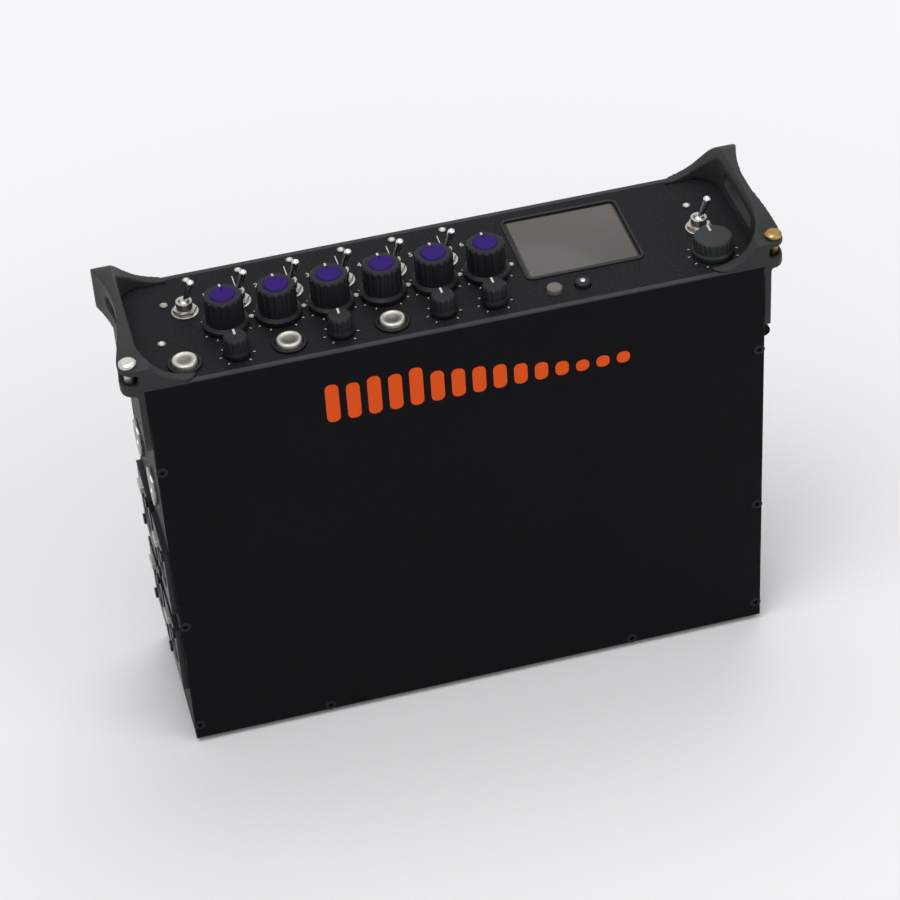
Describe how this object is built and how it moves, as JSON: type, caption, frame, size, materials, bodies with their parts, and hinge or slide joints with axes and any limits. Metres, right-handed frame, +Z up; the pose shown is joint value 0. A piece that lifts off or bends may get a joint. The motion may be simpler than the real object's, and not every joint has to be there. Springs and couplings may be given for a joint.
{
  "type": "portable field recorder",
  "caption": "Slim field audio recorder with fader knobs, toggles, buttons and a display between two corner guards, side sockets, a sliding battery sled and a card door",
  "frame": {"origin": "centre of the box around the recorder, at the underside of its feet", "axes": "+X along the row of faders towards the headphone knob; +Y from the cover with the printed bars towards the plain cover, through the thickness; +Z up, out of the control panel"},
  "size_m": [0.252, 0.066, 0.196],
  "materials": {
    "guard_plastic": "warm dark grey, fine grain",
    "cover_paint": "near-black satin powder coat",
    "panel_paint": "dark grey, fine texture",
    "side_paint": "black satin powder coat",
    "knob_plastic": "black, fluted",
    "cap_purple": "purple moulded cap",
    "lever_chrome": "polished",
    "nut_metal": "nickel plated",
    "pot_metal": "plated",
    "button_metal": "turned, lightly dished",
    "display_glass": "warm grey display window",
    "inner_plastic": "black moulding",
    "socket_shell": "black die casting",
    "socket_insert": "black contact carrier",
    "latch_metal": "stamped tab",
    "socket_metal": "nickel plated",
    "black_screws": "black oxide",
    "pin_brass": "brass, dulled",
    "foot_rubber": "black",
    "record_red": "translucent red",
    "key_grey": "light grey",
    "big_knob": "dark grey-green",
    "card_plastic": "dark blue-black",
    "cell_wrap": "shrink wrap",
    "board": "green circuit board"
  },
  "bodies": {
    "case": {"control_panel": "panel_paint", "front_cover": "cover_paint", "back_cover": "cover_paint", "left_panel": "side_paint", "right_panel": "side_paint", "base_plate": "side_paint", "left_guard": "guard_plastic", "right_guard": "guard_plastic", "feet": "foot_rubber", "strap_pins": "pin_brass", "case_screws": "black_screws", "fader_pots": "pot_metal", "toggle_bushings": "nut_metal", "switch_bodies": "inner_plastic", "display_window": "display_glass", "display_module": "inner_plastic", "xlr_shells": "socket_shell", "xlr_inserts": "socket_insert", "mini_sockets": "socket_metal", "timecode_jacks": "socket_metal", "headphone_socket": "socket_metal", "memory_cards": "card_plastic", "circuit_boards": "board"},
    "fader_1": {"fader_knob_1": "knob_plastic", "fader_cap_1": "cap_purple"},
    "fader_2": {"fader_knob_2": "knob_plastic", "fader_cap_2": "cap_purple"},
    "fader_3": {"fader_knob_3": "knob_plastic", "fader_cap_3": "cap_purple"},
    "fader_4": {"fader_knob_4": "knob_plastic", "fader_cap_4": "cap_purple"},
    "fader_5": {"fader_knob_5": "knob_plastic", "fader_cap_5": "cap_purple"},
    "fader_6": {"fader_knob_6": "knob_plastic", "fader_cap_6": "cap_purple"},
    "toggle_1": {"toggle_lever_1": "lever_chrome"},
    "toggle_2": {"toggle_lever_2": "lever_chrome"},
    "toggle_3": {"toggle_lever_3": "lever_chrome"},
    "toggle_4": {"toggle_lever_4": "lever_chrome"},
    "toggle_5": {"toggle_lever_5": "lever_chrome"},
    "toggle_6": {"toggle_lever_6": "lever_chrome"},
    "power_toggle": {"power_lever": "lever_chrome"},
    "select_1": {"select_button_1": "button_metal"},
    "select_2": {"select_button_2": "button_metal"},
    "select_3": {"select_button_3": "button_metal"},
    "trim_1": {"trim_knob_1": "knob_plastic"},
    "trim_2": {"trim_knob_2": "knob_plastic"},
    "trim_3": {"trim_knob_3": "knob_plastic"},
    "trim_4": {"trim_knob_4": "knob_plastic"},
    "headphone_volume": {"headphone_knob": "big_knob"},
    "record": {"record_key": "record_red"},
    "menu_1": {"menu_key_1": "key_grey"},
    "menu_2": {"menu_key_2": "key_grey"},
    "latch_1": {"xlr_latch_1": "latch_metal"},
    "latch_2": {"xlr_latch_2": "latch_metal"},
    "latch_3": {"xlr_latch_3": "latch_metal"},
    "latch_4": {"xlr_latch_4": "latch_metal"},
    "battery_drawer": {"battery_sled": "inner_plastic", "battery_cells": "cell_wrap"},
    "card_flap": {"card_door": "side_paint"}
  },
  "joints": [
    {"name": "fader_1_turn", "type": "hinge", "parent": "case", "child": "fader_1", "pos_m": [-0.082, -0.004, 0.18], "axis": [0, 0, 1], "range_deg": [-150, 150]},
    {"name": "fader_2_turn", "type": "hinge", "parent": "case", "child": "fader_2", "pos_m": [-0.062, -0.004, 0.18], "axis": [0, 0, 1], "range_deg": [-150, 150]},
    {"name": "fader_3_turn", "type": "hinge", "parent": "case", "child": "fader_3", "pos_m": [-0.042, -0.004, 0.18], "axis": [0, 0, 1], "range_deg": [-150, 150]},
    {"name": "fader_4_turn", "type": "hinge", "parent": "case", "child": "fader_4", "pos_m": [-0.022, -0.004, 0.18], "axis": [0, 0, 1], "range_deg": [-150, 150]},
    {"name": "fader_5_turn", "type": "hinge", "parent": "case", "child": "fader_5", "pos_m": [-0.002, -0.004, 0.18], "axis": [0, 0, 1], "range_deg": [-150, 150]},
    {"name": "fader_6_turn", "type": "hinge", "parent": "case", "child": "fader_6", "pos_m": [0.018, -0.004, 0.18], "axis": [0, 0, 1], "range_deg": [-150, 150]},
    {"name": "toggle_1_throw", "type": "hinge", "parent": "case", "child": "toggle_1", "pos_m": [-0.095, 0.009, 0.1832], "axis": [0, 1, 0], "range_deg": [-40, 0]},
    {"name": "toggle_2_throw", "type": "hinge", "parent": "case", "child": "toggle_2", "pos_m": [-0.075, 0.009, 0.1832], "axis": [0, 1, 0], "range_deg": [-40, 0]},
    {"name": "toggle_3_throw", "type": "hinge", "parent": "case", "child": "toggle_3", "pos_m": [-0.055, 0.009, 0.1832], "axis": [0, 1, 0], "range_deg": [-40, 0]},
    {"name": "toggle_4_throw", "type": "hinge", "parent": "case", "child": "toggle_4", "pos_m": [-0.035, 0.009, 0.1832], "axis": [0, 1, 0], "range_deg": [-40, 0]},
    {"name": "toggle_5_throw", "type": "hinge", "parent": "case", "child": "toggle_5", "pos_m": [-0.015, 0.009, 0.1832], "axis": [0, 1, 0], "range_deg": [-40, 0]},
    {"name": "toggle_6_throw", "type": "hinge", "parent": "case", "child": "toggle_6", "pos_m": [0.005, 0.009, 0.1832], "axis": [0, 1, 0], "range_deg": [-40, 0]},
    {"name": "power_throw", "type": "hinge", "parent": "case", "child": "power_toggle", "pos_m": [0.102, -0.002, 0.1832], "axis": [0, 1, 0], "range_deg": [-40, 0]},
    {"name": "select_1_press", "type": "slide", "parent": "case", "child": "select_1", "axis": [0, 0, -1], "range_m": [0, 0.001], "stiffness_N_per_m": 300},
    {"name": "select_2_press", "type": "slide", "parent": "case", "child": "select_2", "axis": [0, 0, -1], "range_m": [0, 0.001], "stiffness_N_per_m": 300},
    {"name": "select_3_press", "type": "slide", "parent": "case", "child": "select_3", "axis": [0, 0, -1], "range_m": [0, 0.001], "stiffness_N_per_m": 300},
    {"name": "trim_1_turn", "type": "hinge", "parent": "case", "child": "trim_1", "pos_m": [-0.0815, -0.0225, 0.18], "axis": [0, 0, 1], "range_deg": [-140, 140]},
    {"name": "trim_2_turn", "type": "hinge", "parent": "case", "child": "trim_2", "pos_m": [-0.0425, -0.0225, 0.18], "axis": [0, 0, 1], "range_deg": [-140, 140]},
    {"name": "trim_3_turn", "type": "hinge", "parent": "case", "child": "trim_3", "pos_m": [-0.0035, -0.0225, 0.18], "axis": [0, 0, 1], "range_deg": [-140, 140]},
    {"name": "trim_4_turn", "type": "hinge", "parent": "case", "child": "trim_4", "pos_m": [0.016, -0.0225, 0.18], "axis": [0, 0, 1], "range_deg": [-140, 140]},
    {"name": "headphone_turn", "type": "hinge", "parent": "case", "child": "headphone_volume", "pos_m": [0.102, -0.019, 0.18], "axis": [0, 0, 1], "range_deg": [-150, 150]},
    {"name": "record_press", "type": "slide", "parent": "case", "child": "record", "axis": [0, 0, -1], "range_m": [0, 0.001], "stiffness_N_per_m": 300},
    {"name": "menu_1_press", "type": "slide", "parent": "case", "child": "menu_1", "axis": [0, 0, -1], "range_m": [0, 0.001], "stiffness_N_per_m": 300},
    {"name": "menu_2_press", "type": "slide", "parent": "case", "child": "menu_2", "axis": [0, 0, -1], "range_m": [0, 0.001], "stiffness_N_per_m": 300},
    {"name": "latch_1_press", "type": "slide", "parent": "case", "child": "latch_1", "axis": [1, 0, 0], "range_m": [0, 0.0012], "stiffness_N_per_m": 300},
    {"name": "latch_2_press", "type": "slide", "parent": "case", "child": "latch_2", "axis": [1, 0, 0], "range_m": [0, 0.0012], "stiffness_N_per_m": 300},
    {"name": "latch_3_press", "type": "slide", "parent": "case", "child": "latch_3", "axis": [1, 0, 0], "range_m": [0, 0.0012], "stiffness_N_per_m": 300},
    {"name": "latch_4_press", "type": "slide", "parent": "case", "child": "latch_4", "axis": [1, 0, 0], "range_m": [0, 0.0012], "stiffness_N_per_m": 300},
    {"name": "battery_slide", "type": "slide", "parent": "case", "child": "battery_drawer", "axis": [1, 0, 0], "range_m": [0, 0.112]},
    {"name": "card_door_swing", "type": "hinge", "parent": "case", "child": "card_flap", "pos_m": [0.121, 0, 0.142], "axis": [0, -1, 0], "range_deg": [0, 110]}
  ]
}
